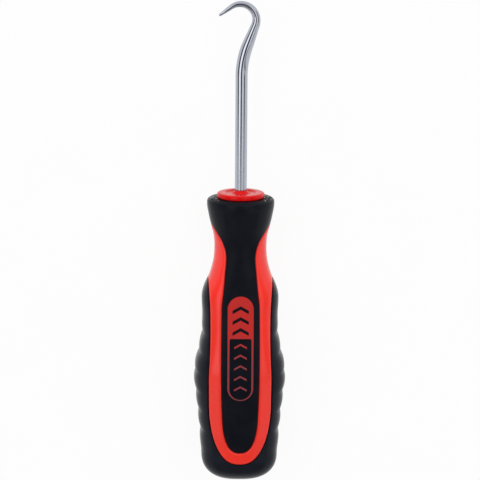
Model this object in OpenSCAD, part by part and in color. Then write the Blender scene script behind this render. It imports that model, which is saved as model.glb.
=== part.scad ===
// Bent hook tool: a polished steel bar with a tapered hook, in a two-material handle.
// A hard red core shows as a flange disc, a neck and two U-shaped bands.
// Soft black rubber is moulded over it as a nose grip with two tongues and as a ridged palm grip.
// Each piece is drawn standing on the butt, its front towards -Y, and is then laid on its back.

/* [Handle] */
// Length of the handle, from the butt to the top of the flange disc
handle_l = 98.5; // [95:0.5:104]
// Width of the plain butt end, where its dome begins
butt_w = 25.7; // [23:0.1:27]
// Height of the domed butt
dome_h = 9.5; // [6:0.1:12]
// Width over the ridges at the fullest part of the palm
palm_w = 30.9; // [28:0.1:34]
// Width at the waist, between the palm and the shoulder
waist_w = 25.3; // [23:0.1:27]
// Width of the shoulder, where the side pads end
shoulder_w = 25.8; // [24:0.1:28]
// Diameter of the neck
neck_d = 17.4; // [15:0.1:20]
// Diameter of the nose collar
collar_d = 22.4; // [20:0.1:25]
// Rounding of the collar's top edge
collar_round = 1.2; // [0.8:0.1:2.4]
// Depth from front to back, as a share of the width, at the palm
palm_depth_ratio = 0.82; // [0.75:0.01:1]
// Thickness of the rubber over the core
rubber_t = 2.2; // [1.5:0.1:3]

/* [Flange disc] */
// Diameter of the red disc that closes the nose
disc_d = 15.8; // [13:0.1:18]
// How far the disc stands above the collar
disc_h = 1.8; // [1:0.1:3]
// Rounding of the disc's edges
disc_round = 0.6; // [0.2:0.1:0.8]
// Dish in the top of the disc, around the bar
dish_h = 0.5; // [0.1:0.1:0.8]

/* [Palm ridges] */
// Number of ridges on each side
ridge_count = 5; // [3:6]
// Distance from one valley between ridges to the next
ridge_pitch = 6.65; // [5:0.05:7]
// Depth of the valleys
ridge_h = 0.55; // [0.2:0.05:0.8]
// Height of the lowest valley above the butt
ridge_start = 18; // [16:0.1:19]
// Angle from the side at which the ridges have faded out
ridge_fade = 52; // [35:1:60]

/* [Red bands] */
// Width of the rubber tongue along the palm
tongue_w = 12.6; // [10:0.1:14]
// Width of the tongue at the neck
tongue_neck_w = 9.9; // [8:0.1:11]
// Radius of the curve in which the tongue's edge flares out under the collar
flare_r = 13; // [8:0.5:20]
// Angle between the flared edge and the handle's axis
flare_turn = 34; // [20:1:45]
// Height of the tongue's round end above the butt
tongue_end_at = 11.4; // [11:0.1:14]
// Height over which the tongue's round end widens
tongue_end_h = 12.5; // [12:0.5:18]
// Distance over both red bands at the palm
bands_w = 21.5; // [20:0.1:23]
// Distance over both red bands at the waist
bands_waist_w = 20.5; // [19:0.1:22]
// Height above the butt of the bend that joins the two bands
bands_end_at = 7.2; // [6.5:0.1:8.5]
// Height over which that bend widens
bands_end_h = 21; // [16:0.5:24]

/* [Steel bar] */
// Diameter of the bar
bar_d = 4; // [3:0.1:5]
// Length of bar that is buried in the handle
buried_l = 52; // [40:1:60]
// Height above the butt at which the bar starts to bend
bend_start = 137.2; // [125:0.1:145]
// Radius of the gentle bend that sets the hook off to one side
offset_r = 28.6; // [20:0.1:35]
// Turn of the gentle bend in degrees
offset_turn = 21; // [10:0.5:30]
// Straight stretch between the two bends
straight_l = 6.9; // [4:0.1:12]
// Radius of the hook's own bend
hook_r = 5.2; // [4:0.1:8]
// Turn of the hook's own bend in degrees
hook_turn = 146.5; // [120:0.5:170]
// Straight stretch from the hook's bend to the tip
tip_l = 4.9; // [2:0.1:8]
// Diameter of the bar at the top of the hook
slim_d = 2.05; // [1.6:0.05:2.6]
// Diameter of the blunt tip
tip_d = 0.9; // [0.6:0.05:1.2]
// Length of bar, back from the tip, over which it tapers
taper_l = 27.5; // [20:0.5:32]

/* [Hidden] */

STEEL = "#b9bbc0";
RED = "#d8281c";
BLACK = "#1c1d20";
CHARCOAL = "#2b2c30";

// Heights above the butt of the handle's main forms
palm_at = 36.5;
waist_at = 57.5;
shoulder_at = 63.5;
neck_at = handle_l - 18;
collar_foot = handle_l - 13.4;
collar_top = handle_l - disc_h;
collar_full_at = collar_top - 2;
ridge_end = ridge_start + ridge_count * ridge_pitch;

// Number of points round a section, and of rings on the dome, on one ridge and on the plain stretch above
sides = 44;
inner_sides = 32;
dome_rings = 7;
ridge_rings = 5;
plain_rings = 15;

// Exponent of the rounded-square outline, along the palm and at the butt's dome
palm_square = 2.7;
dome_square = 2.5;
// Share of the butt's width that is flat at its very end
butt_flat = 0.17;

// Half-width of the handle over its ridges, at each height above the butt
half_width = [
    [dome_h, butt_w / 2],
    [(dome_h + ridge_start) / 2, butt_w / 2 + 0.42],
    [ridge_start, butt_w / 2 + 0.7],
    [palm_at - 9.5, palm_w / 2 - 0.98],
    [palm_at, palm_w / 2],
    [palm_at + 4.5, palm_w / 2 - 0.5],
    [palm_at + 11.2, palm_w / 2 - 1.95],
    [waist_at - 4.5, waist_w / 2 + 0.18],
    [waist_at, waist_w / 2],
    [shoulder_at, shoulder_w / 2 - 0.05],
    [shoulder_at + 3.1, shoulder_w / 2 - 0.75],
    [shoulder_at + 7.5, neck_d / 2 + 1.6],
    [neck_at - 4.5, neck_d / 2 + 0.3],
    [neck_at, neck_d / 2],
    [neck_at + 3.7, neck_d / 2 + 0.3],
    [collar_foot + 3.1, collar_d / 2 - 1.2],
    [collar_foot + 7.1, collar_d / 2 - 0.35],
    [collar_full_at, collar_d / 2]
];

// Half-depth of the handle from front to back, at each height above the butt
palm_half_depth = palm_w / 2 * palm_depth_ratio;
half_depth = [
    [dome_h, palm_half_depth - 1.6],
    [ridge_start, palm_half_depth - 0.9],
    [palm_at, palm_half_depth],
    [palm_at + 11.2, palm_half_depth - 0.5],
    [waist_at, palm_half_depth - 1.4],
    [shoulder_at, palm_half_depth - 2],
    [shoulder_at + 7.5, neck_d / 2 + 0.85],
    [neck_at, neck_d / 2],
    [neck_at + 3.7, neck_d / 2 + 0.3],
    [collar_foot + 3.1, collar_d / 2 - 1.2],
    [collar_foot + 7.1, collar_d / 2 - 0.35],
    [collar_full_at, collar_d / 2]
];

// Squareness of the section: 2 is an ellipse, and more flattens the front, the back and the sides
squareness = [[shoulder_at, palm_square], [neck_at, 2]];

// Radius of the bar, at each distance back from its tip
bar_radius = [
    [0, tip_d / 2],
    [3, slim_d / 2 - 0.32],
    [8, slim_d / 2],
    [taper_l - 15, slim_d / 2 + 0.22],
    [taper_l - 9.5, (slim_d + bar_d) / 4 - 0.06],
    [taper_l, bar_d / 2]
];

// Curve through stations [place, value], with an even slope at each station
function station_slope(t, i) =
    i == 0 || i == len(t) - 1 ? 0 : (t[i + 1][1] - t[i - 1][1]) / (t[i + 1][0] - t[i - 1][0]);
function last_before(t, s) = max([for (k = [0 : len(t) - 2]) if (s >= t[k][0]) k]);
function curve_at(t, s) =
    s <= t[0][0] ? t[0][1] :
    s >= t[len(t) - 1][0] ? t[len(t) - 1][1] :
    let (
        i = last_before(t, s),
        gap = t[i + 1][0] - t[i][0],
        u = (s - t[i][0]) / gap,
        rise = t[i + 1][1] - t[i][1],
        ease = u * u * (3 - 2 * u)
    )
    t[i][1] + rise * ease
        + station_slope(t, i) * gap * u * (1 - u) * (1 - u)
        - station_slope(t, i + 1) * gap * u * u * (1 - u);

// Depth of the nearest valley between ridges, which are round and meet in a sharp line
valleys = [for (i = [0 : ridge_count]) ridge_start + i * ridge_pitch];
function valley_depth(s) =
    let (away = min([for (v = valleys) abs(s - v)]))
    ridge_h * pow(max(0, 1 - away / (ridge_pitch / 2)), 2);

// Share of a valley's depth at an angle round the section, full at the sides and nothing at the front
function side_share(angle) =
    let (off = min(1, abs(asin(sin(angle))) / ridge_fade))
    pow(cos(90 * off), 2);

// Half-size of a section at a height: the domed butt and the collar's rounded top close it off
function butt_share(s) =
    let (down = max(0, 1 - s / dome_h))
    max(butt_flat, pow(1 - pow(down, dome_square), 1 / dome_square));
function collar_cut(s) =
    let (over = max(0, s - (collar_top - collar_round)))
    collar_round - sqrt(max(0, collar_round * collar_round - over * over));
function size_at(t, s) = curve_at(t, s) * butt_share(s) - collar_cut(s);

// Ring of points round the section at a height, with a facet square to each axis
function signed_pow(v, p) = sign(v) * pow(abs(v), p);
function section_ring(s, wide, deep, valley, n) =
    let (p = 2 / curve_at(squareness, s))
    [for (k = [0 : n - 1])
        let (a = 360 * (k + 0.5) / n)
        [(wide - valley * side_share(a)) * signed_pow(cos(a), p), deep * signed_pow(sin(a), p), s]];

// Skin through a stack of rings that all have the same number of points
module skin(rings) {
    n = len(rings[0]);
    last = len(rings) - 1;
    polyhedron(
        points = [for (ring = rings) each ring],
        faces = [
            [for (k = [0 : n - 1]) k],
            for (i = [0 : last - 1], k = [0 : n - 1])
                let (a = i * n + k, b = i * n + (k + 1) % n)
                each [[a, a + n, b + n], [a, b + n, b]],
            [for (k = [n - 1 : -1 : 0]) last * n + k]
        ]
    );
}

// Heights of the rings: close together on the dome, the ridges and the collar's rounded top
function dome_height(turn) = dome_h * (1 - pow(cos(turn), 2 / dome_square));
ridges_l = ridge_end - ridge_start;
plain_l = collar_top - collar_round - ridge_end;
ring_heights = [
    for (i = [0 : dome_rings]) dome_height(90 * i / dome_rings),
    (dome_h + ridge_start) / 2,
    for (i = [0 : ridge_count * ridge_rings]) ridge_start + ridges_l * i / (ridge_count * ridge_rings),
    for (i = [1 : plain_rings - 1]) ridge_end + plain_l * i / plain_rings,
    for (a = [0 : 22.5 : 90]) collar_top - collar_round * (1 - sin(a))
];

// The whole handle up to the collar's top, without the flange disc
module outer_form() {
    skin([for (s = ring_heights)
        section_ring(s, size_at(half_width, s), size_at(half_depth, s), valley_depth(s), sides)]);
}

// What lies under the rubber: the outer form drawn in by the rubber's thickness, and a round boss above
boss_r = disc_d / 2 - 1.2;
inner_step = 7;
inner_from = ridge_start + ridge_pitch / 3;
inner_heights = [
    for (i = [0 : 5]) rubber_t + dome_height(18 * i),
    for (s = [inner_from : inner_step : neck_at]) s,
    neck_at + 2,
    collar_top
];
function inner_half(t, s, cover) =
    s > neck_at ? boss_r : max(0, curve_at(t, s) - cover) * butt_share(s - rubber_t);
module inner_form() {
    skin([for (s = inner_heights)
        section_ring(
            s,
            inner_half(half_width, s, rubber_t + ridge_h),
            inner_half(half_depth, s, rubber_t),
            0,
            inner_sides
        )]);
}

// Right edge of an outline in the front view: a round lower end that widens into a curve through stations
edge_step = 3.3;
function outline_edge(half, end_at, end_h, square, top) = [
    for (a = [0 : 15 : 90])
        let (s = end_at + end_h * (1 - pow(cos(a), 2 / square)))
        [curve_at(half, s) * pow(sin(a), 2 / square), s],
    for (s = [end_at + end_h + edge_step : edge_step : top]) [curve_at(half, s), s]
];

// Outline with this right edge and the same edge mirrored on the left
module mirrored_outline(edge) {
    polygon(concat(edge, [for (i = [len(edge) - 1 : -1 : 1]) [-edge[i][0], edge[i][1]]]));
}

// Half-width of the tongue. Under the collar its edge curves out and runs off the handle's side
tongue_half = [
    [tongue_end_at, tongue_w / 2 - 0.65],
    [palm_at - 3.5, tongue_w / 2],
    [waist_at + 3.5, tongue_w / 2],
    [shoulder_at + 3.5, tongue_w / 2 - 0.6],
    [shoulder_at + 8.5, tongue_neck_w / 2 + 0.4],
    [neck_at - 3, tongue_neck_w / 2]
];
tongue_square = 2.5;
flare_from = neck_at - 3.5;
flare_steps = 4;
flare_to = flare_from + flare_r * sin(flare_turn);
flare_w = flare_r * (1 - cos(flare_turn)) + (handle_l - flare_to) * tan(flare_turn);
module nose_outline() {
    mirrored_outline([
        each outline_edge(
            tongue_half, tongue_end_at, tongue_end_h, tongue_square, flare_from - edge_step / 3),
        for (i = [0 : flare_steps])
            let (a = flare_turn * i / flare_steps)
            [tongue_neck_w / 2 + flare_r * (1 - cos(a)), flare_from + flare_r * sin(a)],
        [tongue_neck_w / 2 + flare_w, handle_l]
    ]);
}

// Half-width over both red bands, and the outline round them and the bend that joins them
bands_half = [
    [bands_end_at, bands_w / 2 - 0.35],
    [palm_at, bands_w / 2],
    [palm_at + 7.5, bands_waist_w / 2 + 0.2],
    [waist_at - 5.5, bands_waist_w / 2],
    [waist_at + 2.5, bands_waist_w / 2 + 0.1],
    [shoulder_at + 5.5, bands_w / 2 + 0.05]
];
bands_square = 2.3;
module bands_outline() {
    mirrored_outline(outline_edge(bands_half, bands_end_at, bands_end_h, bands_square, handle_l));
}

// An outline drawn in the front view, carried through the handle from front to back
module from_front() {
    rotate([90, 0, 0]) linear_extrude(height = 2 * palm_w, center = true) children();
}

// Part of the bar inside the handle, with two swaged ears that stop it turning
ear_w = 7;
ear_h = 9;
ear_t = 1.6;
buried_from = handle_l - buried_l;
module buried_bar(gap) {
    translate([0, 0, buried_from - gap]) cylinder(h = buried_l + 2 * gap, d = bar_d + 2 * gap, $fn = 48);
    translate([0, 0, buried_from + ear_h])
        cube([ear_w + 2 * gap, ear_t + 2 * gap, ear_h + 2 * gap], center = true);
}

// The bar's course past the start of its bends: [x, height, heading] at a distance along it
offset_l = offset_r * offset_turn * PI / 180;
hook_l = hook_r * hook_turn * PI / 180;
run_l = offset_l + straight_l + hook_l + tip_l;
offset_end = [offset_r * (1 - cos(offset_turn)), bend_start + offset_r * sin(offset_turn)];
hook_from = offset_end + straight_l * [sin(offset_turn), cos(offset_turn)];
hook_centre = hook_from + hook_r * [-cos(offset_turn), sin(offset_turn)];
function course(d) =
    d <= offset_l ?
        let (a = offset_turn * d / offset_l)
        [offset_r * (1 - cos(a)), bend_start + offset_r * sin(a), a] :
    d <= offset_l + straight_l ?
        let (p = offset_end + (d - offset_l) * [sin(offset_turn), cos(offset_turn)])
        [p[0], p[1], offset_turn] :
    let (
        turned = min(hook_turn, hook_turn * (d - offset_l - straight_l) / hook_l),
        a = offset_turn - turned,
        past = max(0, d - (run_l - tip_l)),
        p = hook_centre + hook_r * [cos(a), -sin(a)] + past * [sin(a), cos(a)]
    )
    [p[0], p[1], a];

// Ring of points round the bar at a distance along its course
bar_sides = 20;
function bar_ring(d, r) =
    let (c = course(d))
    [for (k = [0 : bar_sides - 1])
        let (a = 360 * k / bar_sides)
        [c[0] + r * cos(a) * cos(c[2]), r * sin(a), c[1] - r * cos(a) * sin(c[2])]];

// Steel bar in one piece: buried end, straight shank, gentle bend, hook and blunt tip
overlap = 1;
course_steps = 32;
bent_r = bar_d / 2 - 0.01;
tip_round = tip_d / 2;
module hook_shank() {
    as_it_lies() color(STEEL) {
        buried_bar(0);
        translate([0, 0, handle_l - overlap])
            cylinder(h = bend_start - handle_l + overlap, d = bar_d, $fn = 48);
        skin([
            [for (p = bar_ring(0, bent_r)) p - [0, 0, overlap]],
            for (i = [0 : course_steps])
                let (d = (run_l - tip_round) * i / course_steps)
                bar_ring(d, min(curve_at(bar_radius, run_l - d), bent_r)),
            for (a = [28, 56, 84])
                bar_ring(run_l - tip_round * (1 - sin(a)), tip_round * cos(a))
        ]);
    }
}

// Flange disc with round edges and a shallow dish, on a short stem that leaves a gap over the collar
shadow_gap = 0.25;
stem_r = boss_r - 0.4;
stem_l = 1;
rim_w = 2.2;
dish_slope_w = 1;
module flange_disc() {
    full_r = disc_d / 2 - disc_round;
    dish_r = disc_d / 2 - rim_w;
    under = collar_top + shadow_gap;
    rotate_extrude($fn = 56)
        polygon([
            [0, collar_top - stem_l],
            [stem_r, collar_top - stem_l],
            [stem_r, under],
            for (a = [0 : 30 : 90]) [full_r + disc_round * sin(a), under + disc_round * (1 - cos(a))],
            for (a = [0 : 30 : 90]) [full_r + disc_round * cos(a), handle_l - disc_round * (1 - sin(a))],
            [dish_r, handle_l],
            [dish_r - dish_slope_w, handle_l - dish_h],
            [0, handle_l - dish_h]
        ]);
}

// Hard red core: it fills the handle, comes to the surface as bands and neck, and grips the bar
fit_gap = 0.03;
module handle_core() {
    as_it_lies() color(RED)
        difference() {
            union() {
                inner_form();
                intersection() {
                    outer_form();
                    from_front() difference() { bands_outline(); nose_outline(); }
                }
                flange_disc();
            }
            buried_bar(fit_gap);
        }
}

// Soft collar with a tongue down the front and one down the back
module nose_grip() {
    as_it_lies() color(BLACK)
        difference() {
            intersection() {
                outer_form();
                from_front() nose_outline();
            }
            inner_form();
        }
}

// Soft ridged side pads, joined to each other round the butt
module palm_grip() {
    as_it_lies() color(CHARCOAL)
        difference() {
            outer_form();
            inner_form();
            from_front() bands_outline();
            from_front() nose_outline();
        }
}

// Rest pose: on its back, touching with the palm and the collar, the middle of its length over the origin
tool_l = hook_centre[1] + hook_r + slim_d / 2;
lean = atan2(palm_half_depth - collar_d / 2, collar_full_at - palm_at);
facet_share = pow(cos(180 / sides), 2 / palm_square);
function axis_height(s) = curve_at(half_depth, s) * facet_share * cos(lean) + (s - tool_l / 2) * sin(lean);
lift = max([for (s = ring_heights) if (abs(s - palm_at) < ridge_pitch) axis_height(s)]);
module as_it_lies() {
    translate([0, 0, lift]) rotate([-lean, 0, 0]) translate([0, -tool_l / 2, 0]) rotate([-90, 0, 0])
        children();
}

hook_shank();
handle_core();
nose_grip();
palm_grip();
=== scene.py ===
"""Bent hook tool, lying on its back and seen from above, on a pale floor in a plain studio.

The handle's pieces are drawn in millimetres, standing on the butt: x to the right, f towards the
front, s up from the butt. to_row() lays them down and turns them into the frame's metres.
"""

import math

import bmesh
import bpy
import numpy as np
from mathutils import Matrix, Vector


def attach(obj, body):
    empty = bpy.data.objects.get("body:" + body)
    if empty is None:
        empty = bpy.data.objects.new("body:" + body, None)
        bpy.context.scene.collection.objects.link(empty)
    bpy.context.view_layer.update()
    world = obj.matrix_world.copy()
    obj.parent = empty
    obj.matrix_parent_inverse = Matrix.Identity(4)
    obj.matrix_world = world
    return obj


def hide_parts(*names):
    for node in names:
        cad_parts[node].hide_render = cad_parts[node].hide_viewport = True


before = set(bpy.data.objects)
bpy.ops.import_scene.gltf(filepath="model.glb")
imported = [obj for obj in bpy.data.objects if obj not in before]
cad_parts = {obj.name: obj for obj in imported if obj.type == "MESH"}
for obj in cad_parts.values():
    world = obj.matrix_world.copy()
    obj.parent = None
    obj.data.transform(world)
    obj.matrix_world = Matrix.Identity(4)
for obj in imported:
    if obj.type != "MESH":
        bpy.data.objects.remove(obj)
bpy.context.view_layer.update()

# Driving sizes of the part, in millimetres
HANDLE_L = 98.5
BUTT_W = 25.7
DOME_H = 9.5
PALM_W = 30.9
WAIST_W = 25.3
SHOULDER_W = 25.8
NECK_D = 17.4
COLLAR_D = 22.4
COLLAR_ROUND = 1.2
COLLAR_ROUND_W = 1.4
DEPTH_RATIO = 0.82
RUBBER_T = 2.2
DISC_D = 15.8
DISC_H = 1.8
DISC_ROUND = 0.6
DISC_ROUND_W = 0.9
DISH_H = 0.4
FOOT_W = 1.2
FOOT_H = 1.1
RIDGE_COUNT = 5
RIDGE_PITCH = 6.65
RIDGE_H = 0.55
RIDGE_START = 18
RIDGE_FADE = math.radians(52)
TONGUE_W = 12.6
TONGUE_NECK_W = 9.9
FLARE_R = 13
FLARE_TURN = math.radians(34)
TONGUE_END = (11.4, 12.5, 2.5)
BANDS_W = 21.5
BANDS_WAIST_W = 20.5
BANDS_END = (7.2, 21, 2.3)
BAR_D = 4
BURIED_L = 52
BEND_START = 137.2
OFFSET_R = 28.6
OFFSET_TURN = math.radians(21)
STRAIGHT_L = 6.9
HOOK_R = 5.2
HOOK_TURN = math.radians(146.5)
TIP_L = 4.9
SLIM_D = 2.05
TIP_D = 0.9
TAPER_L = 27.5

# Heights of the main forms above the butt
PALM_AT = 36.5
WAIST_AT = 57.5
SHOULDER_AT = 63.5
NECK_AT = HANDLE_L - 18
COLLAR_FOOT = HANDLE_L - 13.4
COLLAR_TOP = HANDLE_L - DISC_H
COLLAR_FULL_AT = COLLAR_TOP - 2
FLARE_FROM = NECK_AT - 3.5
FLARE_RISE = FLARE_R * math.sin(FLARE_TURN)
PALM_SQUARE = 2.7
DOME_SQUARE = 2.5
BUTT_FLAT = 0.17
FACETS = 44

# Half-width and half-depth of the handle, and the squareness of its section, by height
HALF_WIDTH = [
    (DOME_H, BUTT_W / 2),
    ((DOME_H + RIDGE_START) / 2, BUTT_W / 2 + 0.42),
    (RIDGE_START, BUTT_W / 2 + 0.7),
    (PALM_AT - 9.5, PALM_W / 2 - 0.98),
    (PALM_AT, PALM_W / 2),
    (PALM_AT + 4.5, PALM_W / 2 - 0.5),
    (PALM_AT + 11.2, PALM_W / 2 - 1.95),
    (WAIST_AT - 4.5, WAIST_W / 2 + 0.18),
    (WAIST_AT, WAIST_W / 2),
    (SHOULDER_AT, SHOULDER_W / 2 - 0.05),
    (SHOULDER_AT + 3.1, SHOULDER_W / 2 - 0.75),
    (SHOULDER_AT + 7.5, NECK_D / 2 + 1.6),
    (NECK_AT - 4.5, NECK_D / 2 + 0.3),
    (NECK_AT, NECK_D / 2),
    (NECK_AT + 3.7, NECK_D / 2 + 0.3),
    (COLLAR_FOOT + 3.1, COLLAR_D / 2 - 1.2),
    (COLLAR_FOOT + 7.1, COLLAR_D / 2 - 0.35),
    (COLLAR_FULL_AT, COLLAR_D / 2),
]
PALM_HALF_DEPTH = PALM_W / 2 * DEPTH_RATIO
HALF_DEPTH = [
    (DOME_H, PALM_HALF_DEPTH - 1.6),
    (RIDGE_START, PALM_HALF_DEPTH - 0.9),
    (PALM_AT, PALM_HALF_DEPTH),
    (PALM_AT + 11.2, PALM_HALF_DEPTH - 0.5),
    (WAIST_AT, PALM_HALF_DEPTH - 1.4),
    (SHOULDER_AT, PALM_HALF_DEPTH - 2),
    (SHOULDER_AT + 7.5, NECK_D / 2 + 0.85),
    (NECK_AT, NECK_D / 2),
    (NECK_AT + 3.7, NECK_D / 2 + 0.3),
    (COLLAR_FOOT + 3.1, COLLAR_D / 2 - 1.2),
    (COLLAR_FOOT + 7.1, COLLAR_D / 2 - 0.35),
    (COLLAR_FULL_AT, COLLAR_D / 2),
]
SQUARENESS = [(SHOULDER_AT, PALM_SQUARE), (NECK_AT, 2)]

# Half-widths of the tongue and over both red bands, in the front view
TONGUE_HALF = [
    (TONGUE_END[0], TONGUE_W / 2 - 0.65),
    (PALM_AT - 3.5, TONGUE_W / 2),
    (WAIST_AT + 3.5, TONGUE_W / 2),
    (SHOULDER_AT + 3.5, TONGUE_W / 2 - 0.6),
    (SHOULDER_AT + 8.5, TONGUE_NECK_W / 2 + 0.4),
    (NECK_AT - 3, TONGUE_NECK_W / 2),
]
BANDS_HALF = [
    (BANDS_END[0], BANDS_W / 2 - 0.35),
    (PALM_AT, BANDS_W / 2),
    (PALM_AT + 7.5, BANDS_WAIST_W / 2 + 0.2),
    (WAIST_AT - 5.5, BANDS_WAIST_W / 2),
    (WAIST_AT + 2.5, BANDS_WAIST_W / 2 + 0.1),
    (SHOULDER_AT + 5.5, BANDS_W / 2 + 0.05),
]
BAR_RADIUS = [
    (0, TIP_D / 2),
    (3, SLIM_D / 2 - 0.32),
    (8, SLIM_D / 2),
    (TAPER_L - 15, SLIM_D / 2 + 0.22),
    (TAPER_L - 9.5, (SLIM_D + BAR_D) / 4 - 0.06),
    (TAPER_L, BAR_D / 2),
]

# Seams between rubber and plastic: how far each side keeps off the seam, the radius of its rolled
# edge, the points round that edge, and the rows between a strip's two lines
RUBBER_GAP = 0.12
RUBBER_EDGE_R = 0.25
CORE_GAP = 0.02
CORE_EDGE_R = 0.75
EDGE_STEPS = 5
CELLS_ACROSS = 14


def curve_at(stations, s):
    """Smooth curve through stations (place, value), level at both ends."""
    place, value = np.array(stations, float).T
    s = np.asarray(s, float)
    slope = np.zeros(len(place))
    slope[1:-1] = (value[2:] - value[:-2]) / (place[2:] - place[:-2])
    i = np.clip(np.searchsorted(place, s, side="right") - 1, 0, len(place) - 2)
    gap = place[i + 1] - place[i]
    u = np.clip((s - place[i]) / gap, 0, 1)
    rise = (value[i + 1] - value[i]) * u * u * (3 - 2 * u)
    return value[i] + rise + slope[i] * gap * u * (1 - u) ** 2 - slope[i + 1] * gap * u * u * (1 - u)


def butt_share(s):
    """Share of the section's size that the domed butt leaves at a height."""
    down = np.maximum(0, 1 - s / DOME_H)
    return np.maximum(BUTT_FLAT, (1 - down ** DOME_SQUARE) ** (1 / DOME_SQUARE))


def dome_height(turn):
    """Height on the butt's dome at a turn from its end (0) to its rim (a quarter turn)."""
    return DOME_H * (1 - np.cos(turn) ** (2 / DOME_SQUARE))


def valley_depth(s):
    """Depth of the nearest valley between the palm's ridges, which meet in sharp lines."""
    valleys = RIDGE_START + RIDGE_PITCH * np.arange(RIDGE_COUNT + 1)
    away = np.abs(np.asarray(s)[..., None] - valleys).min(-1)
    return RIDGE_H * np.maximum(0, 1 - away / (RIDGE_PITCH / 2)) ** 2


def section(s, turn):
    """Point (x, f) of the front right quarter at a height, by turn from the side to the front."""
    power = 2 / curve_at(SQUARENESS, s)
    wide, deep = (curve_at(t, s) * butt_share(s) for t in (HALF_WIDTH, HALF_DEPTH))
    side_share = np.cos(np.minimum(1, turn / RIDGE_FADE) * math.pi / 2) ** 2
    x = (wide - valley_depth(s) * side_share) * np.maximum(0, np.cos(turn)) ** power
    return x, deep * np.sin(turn) ** power


# Turns round the quarter, close together at its ends, where a squarish section runs straight
CROWDING = 1.35
_even = np.linspace(0, 1, 121)
_near, _far = _even ** CROWDING, (1 - _even) ** CROWDING
TURNS = _near / (_near + _far) * math.pi / 2
FLAT_AT = float(dome_height(math.asin(BUTT_FLAT ** (DOME_SQUARE / 2))))


def quarter_run(s):
    """The quarter's x at each of TURNS, and the share of its length that lies before it."""
    x, f = section(s[:, None], TURNS[None, :])
    step = np.hypot(np.diff(x), np.diff(f))
    run = np.concatenate([np.zeros((len(s), 1)), np.cumsum(step, axis=1)], axis=1)
    return x, run / run[:, -1:]


def row_interp(value, known, result):
    """Linear interpolation with a table of its own for each value; known rises along each row."""
    i = np.clip((known <= value[:, None]).sum(1) - 1, 0, known.shape[1] - 2)
    row = np.arange(len(value))
    k0, k1 = known[row, i], known[row, i + 1]
    u = np.clip((value - k0) / np.maximum(k1 - k0, 1e-12), 0, 1)
    return result[row, i] * (1 - u) + result[row, i + 1] * u


def surface(b, h):
    """Point (x, f, s) of the handle's surface.

    b is the share of the quarter's length, 0 at the side and 1 at the front. h is the height, and
    below 0 it runs on over the flat butt to its middle at -1."""
    shape = np.broadcast(b, h).shape
    b, h = (np.broadcast_to(v, shape).ravel().astype(float) for v in (b, h))
    s = np.maximum(h, FLAT_AT)
    _, run = quarter_run(s)
    turn = row_interp(np.clip(b, 0, 1), run, np.broadcast_to(TURNS, run.shape))
    x, f = section(s, turn)
    flat = np.clip(1 + h, 0, 1)
    x, f = np.where(b >= 1, 0, x) * flat, np.where(b <= 0, 0, f) * flat
    return np.stack([x, f, np.where(h < 0, FLAT_AT * flat, s)], -1).reshape(*shape, 3)


def outward(b, h):
    """Unit vector (x, f, s) out of the handle's surface."""
    e = 0.002
    along = surface(np.minimum(b + e, 1), h) - surface(np.maximum(b - e, 0), h)
    up = surface(b, np.maximum(h, FLAT_AT) + 2 * e) - surface(b, np.maximum(h, FLAT_AT + e) - e)
    n = np.cross(along, up)
    shape = n.shape[:-1]
    b, h = np.broadcast_to(b, shape), np.broadcast_to(h, shape)
    n[..., 0] = np.where(b >= 1, 0, n[..., 0])
    n[..., 1] = np.where(b <= 0, 0, n[..., 1])
    n[h < 0] = (0, 0, -1)
    return n / np.linalg.norm(n, axis=-1, keepdims=True)


def share_at(x, s):
    """b of the point of the surface that lies x from the middle in the front view."""
    table, run = quarter_run(s)
    return row_interp(x, table[:, ::-1], run[:, ::-1])


def round_end(end, turns):
    """Heights along a round lower end (start, height, squareness), by turn from its middle."""
    return end[0] + end[1] * (1 - np.cos(turns) ** (2 / end[2]))


def edge_x(half, end, s):
    """x of an outline's right edge in the front view: a round lower end, then its stations."""
    left = np.clip(1 - (s - end[0]) / end[1], 0, 1)
    return curve_at(half, s) * (1 - left ** end[2]) ** (1 / end[2])


def tongue_x(s):
    """x of the tongue's right edge, which flares out under the collar."""
    curved = np.clip(s - FLARE_FROM, 0, FLARE_RISE)
    straight = np.maximum(0, s - FLARE_FROM - FLARE_RISE)
    return (edge_x(TONGUE_HALF, TONGUE_END, s) + FLARE_R - np.sqrt(FLARE_R ** 2 - curved ** 2)
            + straight * math.tan(FLARE_TURN))


def seam(x, s):
    """Points (b, height) of a seam given in the front view."""
    return np.stack([share_at(x, s), s], -1)


def line(start, end, n):
    """n points (b, height) on the way from start up to but without end."""
    t = np.arange(n)[:, None] / n
    return np.array(start) * (1 - t) + np.array(end) * t


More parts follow.
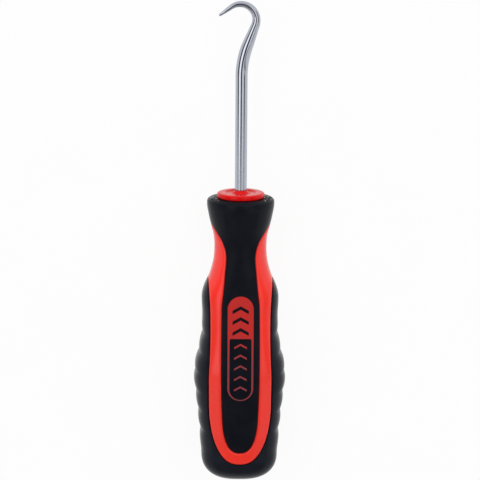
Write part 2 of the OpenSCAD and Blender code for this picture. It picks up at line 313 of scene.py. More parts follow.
class Skin:
    """Faces of one piece. The handle's are drawn for a quarter of it and mirrored twice."""

    def __init__(self):
        self.points, self.faces, self.count = [], [], 0

    def grid(self, points):
        """Faces between neighbouring points of rows and columns."""
        rows, cols = points.shape[:2]
        at = self.count + np.arange(rows * cols).reshape(rows, cols)
        corners = (at[:-1, :-1], at[1:, :-1], at[1:, 1:], at[:-1, 1:])
        self.faces.append(np.stack([c.ravel() for c in corners], -1))
        self.points.append(points.reshape(-1, 3))
        self.count += rows * cols

    def mirrored(self):
        """The same with its mirror images to the left and to the back."""
        for axis in (0, 1):
            points = np.concatenate(self.points)
            faces = np.concatenate(self.faces)
            flip = points.copy()
            flip[:, axis] *= -1
            self.points, self.faces = [points, flip], [faces, faces[:, ::-1] + self.count]
            self.count *= 2
        return self

    def strip(self, start, end, wall, end_seam=None, gap=RUBBER_GAP, edge_r=RUBBER_EDGE_R):
        """Outer and inner face between two lines of (b, height) points, with rolled seam edges.

        The start is a seam; end_seam says for each point of the end line whether it is one too.
        wall is the thickness."""
        rows = len(start)
        end_seam = np.zeros(rows, bool) if end_seam is None else end_seam
        fine = np.linspace(0, 1, 9)[None, :, None]
        ray = surface(*np.moveaxis(start[:, None] * (1 - fine) + end[:, None] * fine, -1, 0))
        length = np.linalg.norm(np.diff(ray, axis=1), axis=-1).sum(1)

        turn = np.linspace(0, math.pi / 2, EDGE_STEPS)
        reach = gap + edge_r * (1 - np.cos(turn))
        drop = edge_r * (1 - np.sin(turn))
        reach, drop = np.append(gap, reach), np.append(wall, drop)
        near = reach[None, :] / length[:, None]
        last = near[:, -1:]
        inner = np.linspace(0, 1, CELLS_ACROSS + 2)[None, 1:-1]
        t = np.concatenate([near, last + (1 - 2 * last) * inner, 1 - near[:, ::-1]], axis=1)
        sink = np.zeros_like(t)
        sink[:, :len(drop)] = drop
        sink[end_seam, -len(drop):] = drop[::-1]
        t[~end_seam, -1] = 1
        t[~end_seam, -2] = 1
        b, h = np.moveaxis(start[:, None] * (1 - t[..., None]) + end[:, None] * t[..., None], -1, 0)
        base, out = surface(b, h), outward(b, h)
        self.grid(base - out * sink[..., None])
        self.grid(base - out * wall)

    def skin(self, b, heights, drop):
        """Rows of the surface itself, drawn in by drop."""
        b, h = np.meshgrid(b, heights)
        self.grid(surface(b, h) - outward(b, h) * drop)

    def turned(self, b, profile):
        """Rows of (radius, height) at the columns b, where the section is round."""
        r, s = np.array(profile, float).T
        ring = surface(b, COLLAR_FULL_AT)[None, :, :2] / (COLLAR_D / 2)
        ring = ring * r[:, None, None]
        self.grid(np.concatenate([ring, np.broadcast_to(s[:, None, None], (*ring.shape[:2], 1))], -1))


# Rest pose: on the back, touching with the palm and the collar, the middle over the origin
OFFSET_END = np.array([
    OFFSET_R * (1 - math.cos(OFFSET_TURN)), BEND_START + OFFSET_R * math.sin(OFFSET_TURN)])
HOOK_FROM = OFFSET_END + STRAIGHT_L * np.array([math.sin(OFFSET_TURN), math.cos(OFFSET_TURN)])
HOOK_CENTRE = HOOK_FROM + HOOK_R * np.array([-math.cos(OFFSET_TURN), math.sin(OFFSET_TURN)])
TOOL_L = HOOK_CENTRE[1] + HOOK_R + SLIM_D / 2
LEAN = math.atan2(PALM_HALF_DEPTH - COLLAR_D / 2, COLLAR_FULL_AT - PALM_AT)
FACET_SHARE = math.cos(math.pi / FACETS) ** (2 / PALM_SQUARE)
_near_palm = PALM_AT + np.linspace(-1, 1, 41) * RIDGE_PITCH
_depth = curve_at(HALF_DEPTH, _near_palm) * FACET_SHARE
LIFT = float((_depth * math.cos(LEAN) + (_near_palm - TOOL_L / 2) * math.sin(LEAN)).max())
MM = 0.001
WELD = 0.004 * MM


def to_row(points):
    """Points (x, f, s) in millimetres, standing, as points of the frame in metres, lying."""
    x, f, s = np.moveaxis(np.asarray(points, float), -1, 0)
    s = s - TOOL_L / 2
    y = s * math.cos(LEAN) + f * math.sin(LEAN)
    z = f * math.cos(LEAN) - s * math.sin(LEAN) + LIFT
    return np.stack([x, y, z], -1) * MM


def y_at(s):
    """The frame's y of a height on the tool's middle line."""
    return float(to_row([0, 0, s])[1])


def add_object(name, data):
    """Object of a mesh, lamp or camera, in the scene."""
    item = bpy.data.objects.new(name, data)
    bpy.context.scene.collection.objects.link(item)
    return item


def make_piece(name, shell, node, material, place=None):
    """Mesh object of a shell, which replaces a CAD node and rides on the part.

    place is a vector for each point, which the material reads."""
    mesh = bpy.data.meshes.new(name)
    points = to_row(np.concatenate(shell.points))
    mesh.from_pydata(points.tolist(), [], np.concatenate(shell.faces).tolist())
    if place is not None:
        attribute = mesh.attributes.new("bar_place", "FLOAT_VECTOR", "POINT")
        attribute.data.foreach_set("vector", place.ravel())
    bm = bmesh.new()
    bm.from_mesh(mesh)
    bmesh.ops.remove_doubles(bm, verts=bm.verts, dist=WELD)
    bmesh.ops.recalc_face_normals(bm, faces=bm.faces)
    for face in bm.faces:
        face.smooth = True
    bm.to_mesh(mesh)
    bm.free()
    piece = add_object(name, mesh)
    mesh.materials.append(material)
    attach(piece, "root")
    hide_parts(node)


class Nodes:
    """Short way to fill a node tree: an input that is a socket is linked, any other is set."""

    def __init__(self, tree):
        self.tree = tree
        tree.nodes.clear()

    def add(self, kind, inputs=None, out=0, **settings):
        node = self.tree.nodes.new(kind)
        for key, value in settings.items():
            setattr(node, key, value)
        for key, value in (inputs or {}).items():
            if isinstance(value, bpy.types.NodeSocket):
                self.tree.links.new(value, node.inputs[key])
            else:
                node.inputs[key].default_value = value
        return node.outputs[out] if node.outputs else None

    def math(self, operation, a, b=0.0, c=0.0):
        return self.add("ShaderNodeMath", {0: a, 1: b, 2: c}, operation=operation)

    def remap(self, value, from_min, from_max, to_min=0.0, to_max=1.0):
        """Smooth step from to_min to to_max."""
        inputs = {
            "Value": value, "From Min": from_min, "From Max": from_max,
            "To Min": to_min, "To Max": to_max}
        return self.add("ShaderNodeMapRange", inputs, interpolation_type="SMOOTHSTEP")

    def mix(self, share, a, b):
        """Mix of two colours."""
        return self.add("ShaderNodeMix", {0: share, 6: a, 7: b}, out=2, data_type="RGBA")

    def blend(self, share, a, b):
        """Mix of two numbers."""
        return self.add("ShaderNodeMix", {0: share, 2: a, 3: b})

    def split(self, vector):
        """The vector's x, y and z."""
        node = self.tree.nodes.new("ShaderNodeSeparateXYZ")
        self.tree.links.new(vector, node.inputs[0])
        return node.outputs

    def scaled(self, vector, scale):
        return self.add("ShaderNodeMapping", {"Vector": vector, "Scale": scale})

    def noise(self, place, scale, detail=2.0, roughness=0.5):
        inputs = {"Vector": place, "Scale": scale, "Detail": detail, "Roughness": roughness}
        return self.add("ShaderNodeTexNoise", inputs)

    def bump(self, height, distance, strength=1.0, normal=None):
        inputs = {"Height": height, "Distance": distance, "Strength": strength}
        if normal is not None:
            inputs["Normal"] = normal
        return self.add("ShaderNodeBump", inputs)

    def principled(self, inputs):
        """The material's surface."""
        shader = self.add("ShaderNodeBsdfPrincipled", inputs)
        self.add("ShaderNodeOutputMaterial", {"Surface": shader})


def new_material(name):
    material = bpy.data.materials.new(name)
    material.use_nodes = True
    return material, Nodes(material.node_tree)


# Wall thickness of each moulding, and the radius of the core's boss in the collar's hole
NOSE_WALL = 1.4
PALM_WALL = 1.8
CORE_WALL = 2.6
BOSS_R = DISC_D / 2 - 1.2

# Layout of the cells, by height: their size; TOP_ROW, from which the collar is round; FAN_AT on the
# front's middle, from which lines fan out to the tongue's lower end; BUTT_ROW round the butt's dome;
# and PADS_FAN_AT at the side, from which lines fan out to the pads' upper end. PINCH is where the
# pads end at the side, and FLARE_END is where the tongue's flare reaches it
CELL = 0.8
TOP_ROW = COLLAR_TOP - 4.7
FAN_AT = TONGUE_END[0] + 5
BUTT_TURN = math.radians(68)
BUTT_ROW = float(dome_height(BUTT_TURN))
PADS_FAN_AT = SHOULDER_AT + 2.5
PAST_FAN = PADS_FAN_AT + 6
_high = np.linspace(PADS_FAN_AT, PAST_FAN, 200)
_room = curve_at(HALF_WIDTH, _high) - edge_x(BANDS_HALF, BANDS_END, _high)
PINCH = float(np.interp(0, -_room, _high))
_high = np.linspace(FLARE_FROM + FLARE_RISE, COLLAR_FULL_AT, 400)
FLARE_END = float(np.interp(0, tongue_x(_high) - curve_at(HALF_WIDTH, _high), _high))


def steps(start, end, size=CELL):
    """Even steps of about a size from start up to but without end."""
    n = max(1, round(abs(end - start) / size))
    return start + (end - start) * np.arange(n) / n


def closing(start, end, n):
    """n heights from start to end, ever closer together."""
    return end - (end - start) * (1 - np.linspace(0, 1, n)) ** 2


def turn_at(end, s):
    """Turn from the middle of a round lower end at which it reaches a height."""
    return math.acos((1 - (s - end[0]) / end[1]) ** (end[2] / 2))


def tongue_seam(low_turns, rise, flare):
    """Points of the tongue's seam: at turns of its round end, at the heights rise, and at as many
    heights as flare says on its flare, up to the handle's side."""
    s = np.concatenate([
        round_end(TONGUE_END, low_turns), rise, closing(FLARE_FROM, FLARE_END, flare)])
    seam_line = seam(tongue_x(s), s)
    seam_line[-1, 0] = 0
    return seam_line


def nose_shell():
    """Soft collar with a tongue down the front and one down the back.

    Its lines run from the seam to the tongue's middle: some meet there in a fan, most go across,
    and on the flare they climb to TOP_ROW and then follow it round to the side."""
    low = np.linspace(0, math.pi / 2, 26)[:-1]
    rise = steps(TONGUE_END[0] + TONGUE_END[1], FLARE_FROM)
    fan, climb, across = 14, 17, 20
    start = tongue_seam(low, rise, climb + across)
    end = np.concatenate([
        line((1, FAN_AT), (1, FAN_AT), fan),
        line((1, FAN_AT), (1, rise[0]), len(low) - fan),
        np.stack([np.ones(len(rise)), rise], -1),
        line((1, FLARE_FROM), (1, TOP_ROW), climb),
        np.linspace((1, TOP_ROW), (0, TOP_ROW), across),
    ])
    shell = Skin()
    shell.strip(start, end, NOSE_WALL)

    rim_r, round_from = COLLAR_D / 2, COLLAR_TOP - COLLAR_ROUND
    flat_r = rim_r - COLLAR_ROUND_W
    hole_edge = 0.2
    turns = np.linspace(0, math.pi / 2, 10)
    out = outward(0.0, np.array(TOP_ROW))
    r_top = float(curve_at(HALF_WIDTH, TOP_ROW))
    profile = [
        *((float(curve_at(HALF_WIDTH, s)), s) for s in np.linspace(TOP_ROW, round_from, 7)[:-1]),
        *((rim_r - COLLAR_ROUND_W * (1 - math.cos(t)), round_from + COLLAR_ROUND * math.sin(t))
          for t in turns),
        *((r, COLLAR_TOP) for r in np.linspace(flat_r, BOSS_R + hole_edge, 8)[1:]),
        (BOSS_R + 0.3 * hole_edge, COLLAR_TOP - 0.3 * hole_edge),
        (BOSS_R, COLLAR_TOP - hole_edge),
        (BOSS_R, COLLAR_TOP - NOSE_WALL),
        (rim_r - NOSE_WALL, COLLAR_TOP - NOSE_WALL),
        (rim_r - NOSE_WALL, round_from - 0.4),
        (r_top - NOSE_WALL * out[0], TOP_ROW - NOSE_WALL * out[2]),
    ]
    shell.turned(end[-across:, 0], profile)
    return shell.mirrored()


def palm_shell():
    """Soft ridged side pads, joined to each other round the butt.

    Its lines run from the seam to the butt's row, then to the side, where the last meet in a fan."""
    plain_from = RIDGE_START - RIDGE_PITCH / 2 - 0.9
    low = np.linspace(0, turn_at(BANDS_END, plain_from), 30)[:-1]
    wave = (1 - np.cos(np.linspace(0, math.pi, 15)[:-1])) / 2
    ridges = (RIDGE_START + RIDGE_PITCH * (np.arange(RIDGE_COUNT)[:, None] + wave)).ravel()
    past_ridges = RIDGE_START + RIDGE_PITCH * RIDGE_COUNT
    mid = np.concatenate([steps(plain_from, RIDGE_START), ridges, steps(past_ridges, PADS_FAN_AT)])
    fan = closing(PADS_FAN_AT, PINCH, 21)
    s = np.concatenate([round_end(BANDS_END, low), mid, fan])
    start = seam(edge_x(BANDS_HALF, BANDS_END, s), s)
    start[-1, 0] = 0

    across = 17
    end = np.concatenate([
        line((1, BUTT_ROW), (0, BUTT_ROW), across),
        line((0, BUTT_ROW), (0, plain_from), len(low) - across),
        np.stack([np.zeros(len(mid)), mid], -1),
        line((0, PADS_FAN_AT), (0, PADS_FAN_AT), len(fan)),
    ])
    shell = Skin()
    shell.strip(start, end, PALM_WALL)

    b = end[:across + 1, 0]
    flat_turn = math.asin(BUTT_FLAT ** (DOME_SQUARE / 2))
    down = np.array([*dome_height(np.linspace(BUTT_TURN, flat_turn, 16)), -0.3, -0.65, -1])
    for drop in (0, PALM_WALL):
        shell.skin(b, down, drop)
    return shell.mirrored()


def core_shell():
    """Hard core: two bands on each face, the body under the rubber and the flange disc.

    The bands' lines run from the tongue's seam to the pads' seam, and above the pads to the side.
    In the disc's profile, points close to a corner keep it crisp."""
    low = np.linspace(0, math.pi / 2, 34)[:-1]
    level = steps(TONGUE_END[0] + TONGUE_END[1], PADS_FAN_AT)
    fan = closing(PADS_FAN_AT, PINCH, 21)
    beside_fan = np.linspace(PADS_FAN_AT, PAST_FAN, len(fan))
    rise = np.concatenate([level, beside_fan, steps(PAST_FAN, FLARE_FROM)[1:]])
    start = tongue_seam(low, rise, 37)

    outer_low = np.linspace(0, turn_at(BANDS_END, level[0]), len(low) + 1)[:-1]
    s = np.concatenate([round_end(BANDS_END, outer_low), level, fan])
    outer = seam(edge_x(BANDS_HALF, BANDS_END, s), s)
    outer[-1, 0] = 0
    rest = len(start) - len(outer)
    side = np.stack([np.zeros(rest), np.linspace(PINCH, NECK_AT + 3, rest + 1)[1:]], -1)
    end = np.concatenate([outer, side])
    shell = Skin()
    shell.strip(start, end, CORE_WALL, np.arange(len(end)) < len(outer), CORE_GAP, CORE_EDGE_R)

    b = np.linspace(0, 1, 25)
    under = RUBBER_T + 0.2
    body = [*steps(NECK_AT, DOME_H, 4), *dome_height(np.linspace(math.pi / 2, 0.2, 8)), -0.5, -1]
    shell.skin(b, np.array(body), under)
    out = outward(0.0, np.array(NECK_AT))
    rim_r = DISC_D / 2
    stem_r = BOSS_R - 0.4
    underside = COLLAR_TOP + 0.08
    under_round = 0.35
    full_r = rim_r - DISC_ROUND_W
    dish_r = rim_r - 2.4
    dish_slope_w = 0.9
    dish = HANDLE_L - DISH_H
    bore_r = BAR_D / 2 + 0.03
    bore_foot = HANDLE_L - BURIED_L
    turns = np.linspace(0, math.pi / 2, 9)
    ease = np.linspace(0, 1, 9)[1:]
    profile = [
        (NECK_D / 2 - under * out[0], NECK_AT - under * out[2]),
        (BOSS_R, NECK_AT + 2),
        (BOSS_R, COLLAR_TOP - 1),
        (stem_r, COLLAR_TOP - 1),
        (stem_r, underside),
        *((rim_r - under_round * (1 - math.sin(t)), underside + under_round * (1 - math.cos(t)))
          for t in turns),
        *((full_r + DISC_ROUND_W * math.cos(t), HANDLE_L - DISC_ROUND * (1 - math.sin(t)))
          for t in turns),
        (dish_r + 0.5, HANDLE_L),
        (dish_r, HANDLE_L),
        *((dish_r - dish_slope_w * u, HANDLE_L - DISH_H * u * u * (3 - 2 * u)) for u in ease),
        (bore_r + FOOT_W + 0.6, dish),
        *((bore_r + FOOT_W * (1 - u) + 0.06 * u, dish + FOOT_H * u * u) for u in ease),
        (bore_r, dish + FOOT_H - 0.1),
        (bore_r, bore_foot),
        (0, bore_foot),
    ]
    shell.turned(b, profile)
    return shell.mirrored()


# Lengths along the bar's bends; then the width, depth and height of its swaged ears, and how far
# their middle is above its buried end
OFFSET_L = OFFSET_R * OFFSET_TURN
HOOK_L = HOOK_R * HOOK_TURN
RUN_L = OFFSET_L + STRAIGHT_L + HOOK_L + TIP_L
EARS = np.array([7, 1.6, 9])
EARS_UP = 9


def course(d):
    """Middle line (x, s, heading) of the bar, d past the start of its bends."""
    bend = np.clip(d, 0, OFFSET_L) / OFFSET_R
    x = OFFSET_R * (1 - np.cos(bend))
    s = BEND_START + np.minimum(d, 0) + OFFSET_R * np.sin(bend)
    past = np.clip(d - OFFSET_L, 0, STRAIGHT_L)
    x, s = x + past * math.sin(OFFSET_TURN), s + past * math.cos(OFFSET_TURN)
    turned = np.clip(d - OFFSET_L - STRAIGHT_L, 0, HOOK_L) / HOOK_R
    heading = bend - turned
    x = x + HOOK_R * (np.cos(heading) - np.cos(bend)) * (turned > 0)
    s = s - HOOK_R * (np.sin(heading) - np.sin(bend)) * (turned > 0)
    tip = np.maximum(0, d - (RUN_L - TIP_L))
    return x + tip * np.sin(heading), s + tip * np.cos(heading), heading


def bar_shell():
    """Steel bar with its buried end, two swaged ears, the bends and the blunt tip; and each
    point's place on it: the direction round the bar, and the distance along it."""
    foot = HANDLE_L - BURIED_L - BEND_START
    tip_round = TIP_D / 2
    tip_from = RUN_L - tip_round
    straight_step, bend_step = 1.5, 0.25
    d = np.concatenate([
        steps(foot, 0, straight_step), np.arange(0, tip_from, bend_step), [tip_from]])
    r = curve_at(BAR_RADIUS, RUN_L - d)
    close = np.radians([15, 30, 45, 60, 75, 90])
    d = np.concatenate([[foot, foot], d[1:], RUN_L - tip_round * (1 - np.sin(close))])
    r = np.concatenate([[0, r[0]], r[1:], r[-1] * np.cos(close)])
    x, s, heading = (v[:, None] for v in course(d))
    around = np.linspace(0, 2 * math.pi, 65)[None, :]
    across, front = r[:, None] * np.cos(around), r[:, None] * np.sin(around)
    shell = Skin()
    shell.grid(np.stack([x + across * np.cos(heading), front, s - across * np.sin(heading)], -1))
    place = np.stack(np.broadcast_arrays(np.cos(around), np.sin(around), d[:, None]), -1)
    place = place.reshape(-1, 3)

    ear = EARS / 2
    middle = np.array([0, 0, HANDLE_L - BURIED_L + EARS_UP])
    for axis in range(3):
        for side in (-1, 1):
            u, v = ((axis + k) % 3 for k in (1, 2))
            corner = np.zeros((2, 2, 3))
            corner[..., axis] = side * ear[axis]
            corner[..., u] = np.array([[-1, 1], [-1, 1]]) * ear[u]
            corner[..., v] = np.array([[-1, -1], [1, 1]]) * ear[v]
            shell.grid(corner + middle)
    ears = np.zeros((shell.count - len(place), 3))
    return shell, np.concatenate([place, ears])


# Colours of the materials, deep to light, and the tint of what they mirror
NOSE_DEEP = (0.0062, 0.0072, 0.0106, 1)
NOSE_LIGHT = (0.0084, 0.0092, 0.0128, 1)
PALM_DEEP = (0.0062, 0.0074, 0.0120, 1)
PALM_LIGHT = (0.0086, 0.0100, 0.0156, 1)
RUBBER_SHEEN = (0.80, 0.90, 1.0, 1)
INK = (0.53, 0.028, 0.024, 1)
INK_WORN = (0.23, 0.052, 0.064, 1)
RED_DEEP = (0.88, 0.038, 0.022, 1)
RED_LIGHT = (0.99, 0.036, 0.024, 1)
# painted shade: the disc's red is darker than the bands' to stand in for the shade on its front
RED_PAINTED_DISC_SHADE = (0.72, 0.004, 0.003, 1)
RED_SHEEN = (1.0, 0.88, 0.98, 1)
STEEL_DEEP = (0.415, 0.435, 0.495, 1)
STEEL_LIGHT = (0.48, 0.50, 0.56, 1)

# Specular levels, and roughness: a pair goes from the smoothest spots to the roughest, and scuffs
# and marks add to it
PALM_GLOSS = 0.12
TONGUE_GLOSS = 0.04
COLLAR_GLOSS = 0.085
RIM_GLOSS = 0.04
STREAK_GLOSS = 0.3
BANDS_GLOSS = 0.35
DISC_GLOSS = 0.17
RUBBER_ROUGH = (0.22, 0.3)
INK_ROUGH = 0.42
RIM_ROUGH = 0.55
STREAK_ROUGH = 0.2
RED_ROUGH = (0.14, 0.2)
SCUFF_ROUGH = 0.14
STEEL_ROUGH = (0.06, 0.15)
MARK_ROUGH = 0.12

# Print on the tongue, in millimetres: its ends, half-width, frame line and soft edge, where its ink
# is more and more worn, and the panel's share of its upper half and its rounding
PRINT_FROM = 30.1
PRINT_TO = 65.2
PRINT_HALF_W = 4.3
PRINT_LINE = 0.62
PRINT_SOFT = 0.08
WEAR_FROM = 0.7 * PRINT_TO + 0.3 * PRINT_FROM
WEAR_TO = 0.3 * PRINT_TO + 0.7 * PRINT_FROM
WEAR_MOST = 0.85
PANEL_SHARE = 0.2
PANEL_ROUND = 0.7

# Its chevrons, in the field and on the panel: thickness, half-width, offset, and the middle and
# half-length of the stretch that they fill
CHEVRON_PITCH = 3.6
CHEVRON_SLOPE = 0.55
FIELD_CHEVRONS = (1.15, 2.7, 0.6, 9.2, 5.6)
PANEL_CHEVRONS = (0.62, 2.1, 2.0, -6.0, 8.9)


def rubber(name, deep, light, is_nose=False):
    """Fine-grained matt rubber; its grain is about a third of a millimetre."""
    material, n = new_material(name)
    place = n.add("ShaderNodeTexCoord", out="Object")
    grain = n.noise(place, 3400, 4, 0.6)
    patches = n.noise(place, 160, 3)
    colour = n.mix(n.remap(patches, 0.35, 0.7), deep, light)
    rough = n.remap(grain, 0.3, 0.7, *RUBBER_ROUGH)
    normal = n.bump(grain, 0.03 * MM, 0.5)
    gloss = PALM_GLOSS
    if is_nose:
        colour, rough, normal, gloss = nose_marks(n, place, colour, rough, normal)
    n.principled({
        "Base Color": colour, "Roughness": rough, "Normal": normal, "Specular IOR Level": gloss,
        "Specular Tint": RUBBER_SHEEN})
    return material


def nose_marks(n, place, colour, rough, normal):
    """The print on the nose's tongue, its sheen on the collar, and the collar's dull rim with a few
    streaks beside the disc."""
    x, y, _ = n.split(place)
    mask = tongue_print(n, place)
    along = n.remap(y, y_at(WEAR_FROM), y_at(WEAR_TO), 0.0, WEAR_MOST)
    wear = n.math("ADD", along, n.remap(n.noise(place, 900, 3), 0.35, 0.75, -0.1, 0.25))
    colour = n.mix(mask, colour, n.mix(wear, INK, INK_WORN))
    rough = n.blend(mask, rough, INK_ROUGH)
    normal = n.bump(mask, 0.02 * MM, 0.6, normal)

    # The rim is the collar's flat top, which its y tells from the rest
    neck, top = y_at(NECK_AT), y_at(COLLAR_TOP)
    on_rim = n.remap(y, top - 0.08 * MM, top - 0.02 * MM)
    gloss = n.remap(y, neck, neck + 8 * MM, TONGUE_GLOSS, COLLAR_GLOSS)
    gloss = n.blend(on_rim, gloss, RIM_GLOSS)
    rough = n.blend(on_rim, rough, RIM_ROUGH)
    streaks = n.remap(n.noise(n.scaled(place, (1500, 300, 500)), 1, 3), 0.48, 0.62)
    beside = n.remap(n.math("ABSOLUTE", x), 6.2 * MM, 8 * MM)
    streaks = n.math("MULTIPLY", n.math("MULTIPLY", streaks, beside), on_rim)
    gloss = n.blend(streaks, gloss, STREAK_GLOSS)
    rough = n.blend(streaks, rough, STREAK_ROUGH)
    return colour, rough, normal, gloss


def tongue_print(n, place):
    """Mask of the print on the front of the tongue: a capsule with a few bold gaps in its upper
    field, and a blank panel below that holds thin chevrons."""
    low, high = to_row([[0, PALM_HALF_DEPTH, s] for s in (PRINT_FROM, PRINT_TO)])[:, 1] / MM
    middle, half = (low + high) / 2, (high - low) / 2
    x, y, z = n.split(place)
    x = n.math("ABSOLUTE", n.math("DIVIDE", x, MM))
    y = n.math("SUBTRACT", n.math("DIVIDE", y, MM), middle)

    def corner(across, up, width, height):
        """Distance past the inner corner at (width, height), and 0 short of it."""
        u, v = (n.math("MAXIMUM", n.math("SUBTRACT", value, limit), 0.0)
                for value, limit in ((across, width), (up, height)))
        return n.math("SQRT", n.math("ADD", n.math("MULTIPLY", u, u), n.math("MULTIPLY", v, v)))

    def inside(value, limit):
        return n.remap(value, limit + PRINT_SOFT, limit - PRINT_SOFT)

    def both(*masks):
        product = masks[0]
        for mask in masks[1:]:
            product = n.math("MULTIPLY", product, mask)
        return product

    def chevrons(thick, reach, offset, stretch_middle, stretch_half):
        rise = n.math("ADD", n.math("ADD", y, offset), n.math("MULTIPLY", x, CHEVRON_SLOPE))
        across = n.math("PINGPONG", rise, CHEVRON_PITCH / 2)
        off_middle = n.math("ABSOLUTE", n.math("SUBTRACT", y, stretch_middle))
        return both(inside(across, thick / 2), inside(x, reach), inside(off_middle, stretch_half))

    off_middle = n.math("ABSOLUTE", y)
    round_from = half - PRINT_HALF_W
    whole = inside(corner(x, off_middle, 0.0, round_from), PRINT_HALF_W)
    panel_w = PRINT_HALF_W - PRINT_LINE
    low_end = corner(x, off_middle, 0.0, round_from + PRINT_LINE / 2)
    upper_end = corner(x, y, panel_w - PANEL_ROUND, half * PANEL_SHARE - PANEL_ROUND)
    panel = both(inside(low_end, panel_w), inside(upper_end, PANEL_ROUND))
    field = n.math("SUBTRACT", whole, panel)
    inked_field = both(field, n.math("SUBTRACT", 1.0, chevrons(*FIELD_CHEVRONS)))
    shown = n.math("ADD", inked_field, both(panel, chevrons(*PANEL_CHEVRONS)))
    front = n.math("GREATER_THAN", z, LIFT * MM)
    return both(shown, front)


def red_plastic():
    """Semi-gloss moulded plastic with a faint orange peel and a few fine scuffs. Painted light makes
    it lighter towards the neck, and painted shade makes it deep red on the disc."""
    material, n = new_material("red_plastic")
    place = n.add("ShaderNodeTexCoord", out="Object")
    flow = n.noise(place, 90, 2)
    peel = n.noise(place, 1100, 2)
    scuffs = n.noise(n.scaled(place, (4200, 260, 4200)), 1, 3)
    _, y, _ = n.split(place)
    top = y_at(COLLAR_TOP)
    disc = n.remap(y, top - 2 * MM, top)
    # painted light: the red gets lighter from the palm up to the neck
    painted_neck_light = n.remap(y, y_at(PALM_AT), y_at(NECK_AT), 0.0, 0.6)
    light = n.math("ADD", n.remap(flow, 0.35, 0.65, 0.0, 0.4), painted_neck_light)
    # the disc's deeper red is painted shade; the lighter red towards the neck is painted light
    colour = n.mix(disc, n.mix(light, RED_DEEP, RED_LIGHT), RED_PAINTED_DISC_SHADE)
    rough = n.math(
        "ADD", n.remap(flow, 0.3, 0.7, *RED_ROUGH), n.remap(scuffs, 0.62, 0.78, 0.0, SCUFF_ROUGH))
    n.principled({
        "Base Color": colour, "Roughness": rough, "Normal": n.bump(peel, 0.006 * MM, 0.3),
        "Specular IOR Level": n.blend(disc, BANDS_GLOSS, DISC_GLOSS), "Specular Tint": RED_SHEEN})
    return material


def plated_steel():
    """Polished and plated bar: fine lines along it, and a few faint marks."""
    material, n = new_material("plated_steel")
    place = n.add("ShaderNodeAttribute", out="Vector", attribute_name="bar_place")
    lines = n.noise(n.scaled(place, (9, 9, 0.12)), 2.2, 3, 0.65)
    marks = n.noise(n.scaled(place, (1.6, 1.6, 0.45)), 2.4, 4, 0.7)
    tint = n.mix(n.remap(lines, 0.3, 0.7), STEEL_DEEP, STEEL_LIGHT)
    rough = n.math(
        "ADD", n.remap(lines, 0.3, 0.75, *STEEL_ROUGH), n.remap(marks, 0.6, 0.8, 0.0, MARK_ROUGH))
    normal = n.bump(n.math("ADD", lines, n.remap(marks, 0.66, 0.76)), 0.006 * MM, 0.5)
    n.principled({"Base Color": tint, "Metallic": 1.0, "Roughness": rough, "Normal": normal})
    return material


nose_material = rubber("nose_rubber", NOSE_DEEP, NOSE_LIGHT, is_nose=True)
palm_material = rubber("palm_rubber", PALM_DEEP, PALM_LIGHT)
make_piece("nose_rubber", nose_shell(), "nose_grip", nose_material)
make_piece("palm_rubber", palm_shell(), "palm_grip", palm_material)
make_piece("red_core", core_shell(), "handle_core", red_plastic())
bar, bar_place = bar_shell()
make_piece("steel_bar", bar, "hook_shank", plated_steel(), place=bar_place)


# Floor, studio and camera
FLOOR_HALF = 6.0
FLOOR_GREYS = (0.88, 0.92)
FLOOR_GLOW = 0.93


def grey(value):
    return (value, value, value, 1.0)


def pale_floor():
    """Near-white floor that keeps the soft shadow; the camera and the metal see it as white."""
    material, n = new_material("pale_floor")
    place = n.add("ShaderNodeTexCoord", out="Object")
    colour = n.mix(n.remap(n.noise(place, 40, 3), 0.3, 0.7), *map(grey, FLOOR_GREYS))
    plain = n.add("ShaderNodeBsdfDiffuse", {"Color": colour})
    rays = n.tree.nodes.new("ShaderNodeLightPath")
    seen = n.math("MAXIMUM", rays.outputs["Is Camera Ray"], rays.outputs["Is Glossy Ray"])
    seen = n.math("MAXIMUM", seen, rays.outputs["Is Transmission Ray"])
    glow = n.add("ShaderNodeEmission", {"Color": grey(1.0), "Strength": 1.0})
    share = n.math("MULTIPLY", seen, FLOOR_GLOW)
    shader = n.add("ShaderNodeMixShader", {0: share, 1: plain, 2: glow})
    n.add("ShaderNodeOutputMaterial", {"Surface": shader})
    return material


floor_mesh = bpy.data.meshes.new("floor")
corners = [(-1, -1), (1, -1), (1, 1), (-1, 1)]
floor_mesh.from_pydata([(x * FLOOR_HALF, y * FLOOR_HALF, 0) for x, y in corners], [], [(0, 1, 2, 3)])
floor_mesh.materials.append(pale_floor())
floor = add_object("floor", floor_mesh)

# Radiance of the studio's soft boxes and of the dark gaps between them, by the angle round the tool
# in degrees, from its left (-90) over it (0) to its right (90)
BOXES = [
    (-180, 0.8), (-100, 0.9), (-78, 0.95), (-74, 0.1), (-54, 0.1), (-48, 0.9), (-42, 1.9),
    (-24, 1.9), (-18, 0.7), (-13, 0.05), (5, 0.05), (10, 0.8), (16, 1.2),
    (34, 1.2), (44, 0.7), (48, 0.1), (62, 0.1), (70, 0.8), (78, 0.95), (100, 0.9), (180, 0.8),
]
BRIGHTEST = 1.9

# Its other parts, by the y of a direction, from the butt's end (-1) to the hook's (1). The boxes
# fade in over BOXES_AT. Before them come a band of FOOT_LEVEL, and from FOOT_AT back a wall with a
# dark gap over the tool: wide up to NARROW_AT and narrow beyond, with edges of GAP_EDGE degrees
BOXES_AT = (-0.172, -0.142)
FOOT_AT = (-0.19, -0.178)
NARROW_AT = (-0.25, -0.22)
FOOT_LEVEL = 1.0
WALL_LEVEL = 0.9
GAP_LEVEL = 0.12
NARROW_GAP = 16
WIDE_GAP = 64
GAP_EDGE = 12

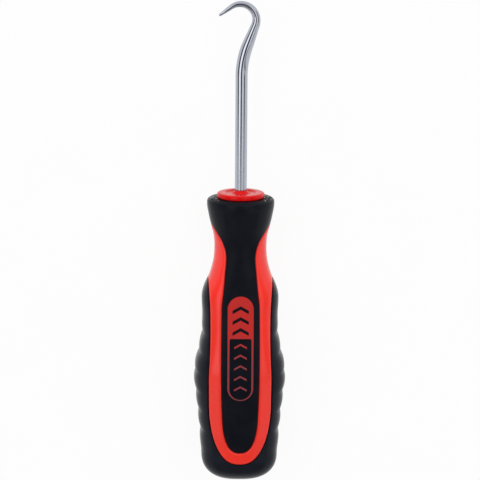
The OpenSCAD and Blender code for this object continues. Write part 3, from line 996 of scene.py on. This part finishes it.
# Far behind the butt and far ahead of the hook it is plain, but brighter low at both sides, beyond
# the angles of BESIDE_AT. Near the horizon, by a direction's z, it is about as pale as the floor
BEHIND_AT = (-0.38, -0.48)
BEHIND_LEVEL = 0.4
AHEAD_AT = (0.35, 0.5)
AHEAD_LEVEL = 0.9
BESIDE_AT = (66, 80)
BESIDE_LEVEL = 1.5
HORIZON_AT = (0.2, 0.1)
HORIZON_LEVEL = 0.97

# Lamp: its size, power and place, in metres and watts
LAMP_SIZE = 1.5
LAMP_WATTS = 8
LAMP_AHEAD = 0.9
LAMP_UP = 1.35


def studio():
    """World round the tool, the same for every kind of ray: what the bar and the disc mirror."""
    world = bpy.data.worlds.new("studio")
    bpy.context.scene.world = world
    world.use_nodes = True
    n = Nodes(world.node_tree)
    x, y, z = n.split(n.add("ShaderNodeTexCoord", out="Generated"))

    def radiance(value):
        return grey(value / BRIGHTEST)

    angle = n.math("ARCTAN2", x, z)
    off_middle = n.math("ABSOLUTE", angle)
    ramp = n.tree.nodes.new("ShaderNodeValToRGB")
    n.tree.links.new(n.math("ADD", n.math("DIVIDE", angle, 2 * math.pi), 0.5), ramp.inputs[0])
    points = ramp.color_ramp.elements
    while len(points) < len(BOXES):
        points.new(0.5)
    for point, (degrees, value) in zip(points, BOXES):
        point.position = degrees / 360 + 0.5
        point.color = radiance(value)

    gap = n.remap(y, *NARROW_AT, math.radians(NARROW_GAP), math.radians(WIDE_GAP))
    past_gap = n.remap(n.math("SUBTRACT", off_middle, gap), 0.0, math.radians(GAP_EDGE))
    level = n.mix(past_gap, radiance(GAP_LEVEL), radiance(WALL_LEVEL))
    level = n.mix(n.remap(y, *FOOT_AT), level, radiance(FOOT_LEVEL))
    level = n.mix(n.remap(y, *BOXES_AT), level, ramp.outputs[0])
    beside = n.remap(off_middle, *map(math.radians, BESIDE_AT))
    for value, at in ((BEHIND_LEVEL, BEHIND_AT), (AHEAD_LEVEL, AHEAD_AT)):
        zone = n.mix(beside, radiance(value), radiance(BESIDE_LEVEL))
        level = n.mix(n.remap(y, *at), level, zone)
    level = n.mix(n.remap(z, *HORIZON_AT), level, radiance(HORIZON_LEVEL))
    background = n.add("ShaderNodeBackground", {"Color": level, "Strength": BRIGHTEST})
    n.add("ShaderNodeOutputWorld", {"Surface": background})


def overhead_lamp():
    """Large soft lamp over the tool, for the surfaces' own colour; nothing mirrors it."""
    lamp = bpy.data.lights.new("overhead", "AREA")
    lamp.size = LAMP_SIZE
    lamp.energy = LAMP_WATTS
    holder = add_object("overhead", lamp)
    holder.location = (0, LAMP_AHEAD, LAMP_UP)
    holder.rotation_euler = (-math.atan2(LAMP_AHEAD, LAMP_UP), 0, 0)
    holder.visible_glossy = False


overhead_lamp()
studio()

# Camera: its turns away from straight above the handle's front, its distance in metres and lens,
# what it looks at, and how far the photograph's middle lies from that
TILT = math.radians(12)
TURN = math.radians(1.3)
ROLL = math.radians(0.4)
DISTANCE = 0.8
LENS = 180
CLIP = (0.01, 50)
TARGET_S = 82.2
PIXEL_SHIFT = 0.45
PIXELS_PER_MM = 3


def add_camera():
    """Camera at the photograph's viewing angle."""
    origin = to_row([0, 0, 0])
    along, front = (Vector(to_row(p) - origin).normalized() for p in ([0, 0, 1], [0, 1, 0]))
    side = Vector((1, 0, 0))
    facing = front * math.cos(TURN) - side * math.sin(TURN)
    back = along * math.sin(TILT) + facing * math.cos(TILT)
    level_up = along * math.cos(TILT) - facing * math.sin(TILT)
    level_right = side * math.cos(TURN) + front * math.sin(TURN)
    right = level_right * math.cos(ROLL) + level_up * math.sin(ROLL)
    up = back.cross(right)
    target = Vector(to_row([0, 0, TARGET_S])) - right * (PIXEL_SHIFT / PIXELS_PER_MM * MM)
    camera = add_object("camera", bpy.data.cameras.new("camera"))
    camera.data.lens = LENS
    camera.data.clip_start, camera.data.clip_end = CLIP
    axes = Matrix((right, up, back)).transposed()
    camera.matrix_world = Matrix.Translation(target + back * DISTANCE) @ axes.to_4x4()
    bpy.context.scene.camera = camera


add_camera()
bpy.context.scene.view_settings.view_transform = "Standard"

bpy.context.view_layer.update()
